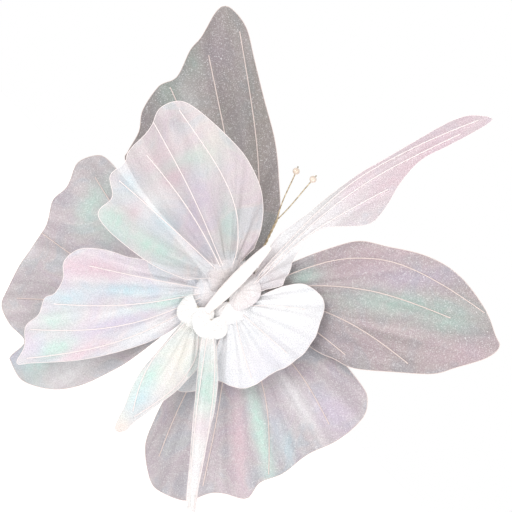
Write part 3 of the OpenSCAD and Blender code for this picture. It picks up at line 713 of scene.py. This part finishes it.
def add_wing(name, body, seed, cloth, wire, ribs_node):
    w = WINGS[name]
    curve = smooth(w["outline"], 8)
    edge = evenly(curve, ACROSS)
    flat = blade(curve) if name in BLADES else fan(edge)
    u, v = flat[..., 0], flat[..., 1]
    points = placed(w, u, v, height(w, u, v, seed)).reshape(-1, 3)
    faces = grid_faces(*u.shape)
    if (w["pose"][0] < 0) != (name in BLADES):
        faces = [f[::-1] for f in faces]
    plane = np.stack([u, v], -1).reshape(-1, 2) / PLANE_UV
    polar = np.stack([np.arctan2(v, u + 12) + seed, np.hypot(u, v) / PLANE_UV + seed], -1).reshape(-1, 2)
    panel = add_mesh(name + "_panel", points, faces, cloth, body, {"plane": plane, "polar": polar})
    rgb, strength = tint_of(w, u, v)
    tint = panel.data.color_attributes.new("tint", "FLOAT_COLOR", "POINT")
    patches = np.concatenate([rgb, strength[..., None]], -1)
    tint.data.foreach_set("color", patches.astype(np.float32).ravel())
    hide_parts(name + "_organza")

    first, last = np.array([[GATHER_AT, -GATHER_W / 2], [GATHER_AT, GATHER_W / 2]])
    ring = np.vstack([first + (edge[0] - first) * np.linspace(0.12, 0.98, 12)[:, None], edge,
                      last + (edge[-1] - last) * np.linspace(0.98, 0.12, 12)[:, None]])
    ring = evenly(ring, 420)
    course = placed(w, ring[:, 0], ring[:, 1], height(w, ring[:, 0], ring[:, 1], seed))
    hem = add_tubes(name + "_rolled_edge", [course], HEM_R, wire, body)

    paths = []
    for line in rib_lines(w, 90):
        paths.append(placed(w, line[:, 0], line[:, 1], height(w, line[:, 0], line[:, 1], seed) + 0.35))
    ribs = add_tubes(name + "_" + ribs_node, paths, RIB_R, wire, body)
    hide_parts(name + "_" + ribs_node.replace("covered_", ""))

    return panel


COLLAR_ROWS = 26
COLLAR_COLUMNS = 170
COLLAR_SPREAD = math.radians(125)
WING_COLLAR = 26
TAIL_COLLAR = 24


def add_collar(name, body, seed, cloth, reach):
    """The loose end of the gathers, spread over the clamp as a soft collar."""
    w = WINGS[name]
    a = np.linspace(-COLLAR_SPREAD, COLLAR_SPREAD, COLLAR_COLUMNS)[None, :]
    t = np.linspace(0, 1, COLLAR_ROWS)[:, None]
    rim = reach * (0.4 + 0.6 * np.cos(a / 2) + 0.03 * np.sin(5 * a + seed))
    r = 1.5 + (rim - 1.5) * t
    u, v = r * np.cos(a), r * np.sin(a)
    pleats = np.sin(13 * a + 2 * np.sin(2 * a + seed))
    h = 0.5 + 2.9 * (1 - smoothstep(r, FERRULE_END, reach)) + 0.16 * smoothstep(r, 2, 9) * pleats
    h = h + 0.08 * t * np.sin(31 * a + seed)
    points = placed(w, u, v, h).reshape(-1, 3)
    faces = grid_faces(COLLAR_ROWS, COLLAR_COLUMNS)
    plane = np.stack([u, v], -1).reshape(-1, 2) / PLANE_UV
    polar = np.stack([a + 0 * r, r / PLANE_UV], -1).reshape(-1, 2)
    collar = add_mesh(name + "_gathered_collar", points, faces, cloth, body,
                      {"plane": plane, "polar": polar})
    tint = collar.data.color_attributes.new("tint", "FLOAT_COLOR", "POINT")
    amount = 0.45 if name.startswith("left_front") else 0.85
    patch = np.zeros(r.shape + (4,))
    patch[..., :3] = srgb(252, 248, 246)[:3]
    patch[..., 3] = amount * np.exp(-(r / 30) ** 2)
    tint.data.foreach_set("color", patch.astype(np.float32).ravel())


def add_wings():
    pale_wire = wrapped_wire("pale_covered_wire", srgb(248, 240, 238), srgb(228, 216, 214))
    # The rear wings' wire and rolled edge: pink, and darker than the pale wire as painted shade for the layer
    # behind.
    shaded_rear_wire = wrapped_wire("pink_covered_wire_in_painted_shade", srgb(232, 216, 210), srgb(204, 186, 180))
    # One organza in every wing, its brightness set per wing: the rear wings are darker as painted shade,
    # since they lie behind the front ones, and the right tail is lighter as painted light where it lies in
    # shadow.
    cloths = {
        "left_rear_forewing": organza(
            "organza_left_rear_fore", srgb(150, 142, 141), srgb(127, 121, 118), 0.25, 0.95),
        "right_rear_forewing": organza(
            "organza_right_rear_fore", srgb(177, 163, 166), srgb(151, 140, 142), 0.30, 0.95),
        "left_rear_hindwing": organza(
            "organza_left_rear_hind", srgb(204, 196, 200), srgb(174, 166, 170), 0.35, 0.95),
        "right_rear_hindwing": organza(
            "organza_right_rear_hind", srgb(197, 189, 194), srgb(164, 156, 162), 0.35, 0.95),
        "left_front_forewing": organza(
            "organza_left_front_fore", srgb(235, 227, 231), srgb(212, 204, 208), 0.30, 0.72),
        "right_front_forewing": organza(
            "organza_right_front_fore", srgb(215, 204, 209), srgb(197, 187, 192), 0.22, 0.96),
        "left_front_hindwing": organza(
            "organza_left_front_hind", srgb(232, 227, 232), srgb(209, 204, 211), 0.28, 0.94),
        "right_front_hindwing": organza(
            "organza_right_front_hind", srgb(228, 228, 231), srgb(216, 217, 222), 0.10, 0.98),
        "left_tail": organza(
            "organza_left_tail", srgb(232, 232, 229), srgb(220, 221, 220), 0.22, 0.96),
        "right_tail": organza(
            "organza_right_tail", srgb(253, 251, 250), srgb(243, 241, 241), 0.2, 0.96),
    }
    for i, name in enumerate(WINGS):
        tail = name.endswith("tail")
        rear = "_rear_" in name
        add_wing(name, name, 0.9 + 1.37 * i, cloths[name], shaded_rear_wire if rear else pale_wire,
                 "covered_wires" if tail else "covered_ribs")
        add_collar(name, name, 1.3 * i, cloths["right_front_hindwing" if rear else name],
                   TAIL_COLLAR if tail else WING_COLLAR)


# ---------------------------------------------------------------- the body and its bindings

BODY_Y = -27
BODY_LOW = -32
BODY_LEN = 98
BODY_R = 7.6
BINDINGS = (0.04, 0.32, 0.58)
BODY_FOLDS = 11


def body_radius(t, q):
    """Radius of the padded roll, pinched where it is tied and gathered into long folds."""
    r = BODY_R * np.sin(math.pi * (0.09 + 0.83 * np.clip(t, 0, 1))) ** 0.5
    pinch = sum(np.exp(-((t - tie) / 0.022) ** 2) for tie in BINDINGS)
    near = sum(np.exp(-((t - tie) / 0.09) ** 2) for tie in BINDINGS)
    folds = np.sin(BODY_FOLDS * q + 3 * np.sin(5 * t + 1)) + 0.5 * np.sin(2.3 * BODY_FOLDS * q + 9 * t)
    return r * (1 - 0.04 * pinch) * (1 + (0.01 + 0.025 * near) * folds)


def body_point(t, q, extra=0.0):
    r = body_radius(t, q) + extra
    return np.stack([r * np.cos(q), r * np.sin(q) + BODY_Y + 0 * t, BODY_LOW + t * BODY_LEN + 0 * q], -1) * MM


def add_body():
    rows, columns = 220, 120
    t = np.linspace(0, 1, rows)[:, None] + np.zeros((1, columns))
    q = np.linspace(0, 2 * math.pi, columns, endpoint=False)[None, :] + np.zeros((rows, 1))
    points = list(body_point(t, q).reshape(-1, 3))
    faces = grid_faces(rows, columns, True)
    for row, z in ((0, BODY_LOW - 0.6), (rows - 1, BODY_LOW + BODY_LEN + 0.4)):
        centre = len(points)
        points.append(np.array((0, BODY_Y, z)) * MM)
        ring = [row * columns + j for j in range(columns)]
        sides = [(ring[j], ring[(j + 1) % columns]) for j in range(columns)]
        faces += [(centre, b, a) if row == 0 else (centre, a, b) for a, b in sides]
    cover = add_mesh("body_padded_cover", points, faces,
                     satin("cream_satin", srgb(248, 241, 238), srgb(240, 231, 228)), "body")
    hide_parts("body_cover", "body_filling")

    thread = wrapped_wire("cream_thread", srgb(254, 250, 246), srgb(244, 236, 230))
    paths = []
    for i, tie in enumerate(BINDINGS):
        turns = 5 if i == 0 else 2
        s = np.linspace(0, 1, turns * 36)
        q = 2 * math.pi * turns * s + i
        paths.append(body_point(tie + (s - 0.5) * 0.0052 * turns, q, 0.25))
    ties = add_tubes("body_thread_bindings", paths, 0.25 * MM, thread, "body")
    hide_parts("body_bindings")


# ---------------------------------------------------------------- antennae

ANTENNA_BASE = np.array([0.0, -10.0, 37.0])
ANTENNA_FORK = np.array([-16.0, -22.0, 93.0])
PEARLS = {"left": np.array([-35.0, -34.0, 145.0]), "right": np.array([-15.0, -34.0, 151.0])}
TWIST_TURNS = 5
STEM_R = 0.65
PEARL_R = 4.0


def add_antennae():
    brass = metal("antenna_brass", srgb(196, 180, 152), srgb(150, 132, 104), 0.34)
    nacre = pearl("pearl_nacre")
    run = ANTENNA_FORK - ANTENNA_BASE
    a = np.cross(run, [1, 0, 0])
    a /= np.linalg.norm(a)
    b = np.cross(run, a) / np.linalg.norm(run)
    for name, phase in (("left", math.pi), ("right", 0.0)):
        t = np.linspace(0, 1, 121)[:, None]
        q = 2 * math.pi * TWIST_TURNS * t + phase
        pair = ANTENNA_BASE + run * t + (STEM_R + 0.07) * (np.cos(q) * a + np.sin(q) * b)
        tip = PEARLS[name]
        s = np.linspace(0, 1, 40)[1:, None]
        bend = np.array([1.0 if name == "right" else -1.0, -1.2, 0]) * 2.2 * np.sin(math.pi * s)
        arm = pair[-1] + (tip - pair[-1]) * s + bend * (1 - s)
        stem = add_tubes(name + "_antenna_wire", [MM * np.vstack([pair, arm])], STEM_R * MM, brass,
                         "antennae")
        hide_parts(name + "_antenna_stem")
        add_pearl(name, tip, (tip - pair[-1]) / np.linalg.norm(tip - pair[-1]), nacre, brass)


def add_pearl(name, centre, axis, nacre, brass):
    """A drilled bead: the stem goes in at one hole and ends in a small turned loop past the other."""
    side = np.cross(axis, [0.3, 0.9, 0.2])
    side /= np.linalg.norm(side)
    other = np.cross(axis, side)
    rows, columns = 40, 48
    hole = 0.2
    points, faces = [], grid_faces(rows, columns, True)
    for i in range(rows):
        f = hole + (math.pi - 2 * hole) * i / (rows - 1)
        dip = 0.35 * math.exp(-(f - hole) / 0.09) + 0.35 * math.exp(-(math.pi - hole - f) / 0.09)
        for k in range(columns):
            q = 2 * math.pi * k / columns
            r = PEARL_R - dip + 0.03 * math.sin(3 * q + 2 * f) + 0.02 * math.sin(5 * f)
            out = math.cos(q) * side + math.sin(q) * other
            points.append(MM * (centre + r * (-math.cos(f) * axis + math.sin(f) * out)))
    faces.append(tuple(range(columns - 1, -1, -1)))
    faces.append(tuple((rows - 1) * columns + k for k in range(columns)))
    bead = add_mesh(name + "_pearl_bead", points, faces, nacre, "antennae")
    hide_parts(name + "_pearl")
    s = np.linspace(0, 1.7 * math.pi, 26)[:, None]
    loop = centre + axis * (PEARL_R + 0.1 + 0.75 * (1 - np.cos(s))) + side * 0.75 * np.sin(s)
    add_tubes(name + "_pearl_wire_loop", [MM * loop], 0.3 * MM, brass, "antennae")


# ---------------------------------------------------------------- the kept metal, plate and felt

def finish_kept_nodes():
    looks = {
        "felt": felt("pressed_felt", srgb(240, 236, 226), srgb(226, 220, 208)),
        "plate": moulded("plate_plastic", srgb(238, 238, 234), srgb(228, 227, 222)),
        "eyelet": metal("eyelet_nickel", srgb(214, 212, 206), srgb(180, 176, 168), 0.22),
        "hinge_wire": metal("hinge_steel", srgb(208, 206, 202), srgb(168, 164, 158), 0.3),
        "ferrule": metal("ferrule_satin", srgb(226, 222, 214), srgb(196, 190, 180), 0.38),
    }
    for part in frame["record"]["subparts"]:
        node = NODES[part["node"]]
        if part["material_slot"] in looks and not node.hide_render:
            node.data.materials.clear()
            node.data.materials.append(looks[part["material_slot"]])
    for name in ("body_wire",):
        NODES[name].data.materials.clear()
        NODES[name].data.materials.append(looks["hinge_wire"])


right, up, back = add_camera()
add_stage()
add_light("key", tuple(1.9 * back + 0.9 * up - 1.1 * right), 1.2, 16)
add_light("fill", tuple(1.9 * back - 0.5 * up + 0.9 * right), 1.6, 14)
add_wings()
add_body()
add_antennae()
finish_kept_nodes()
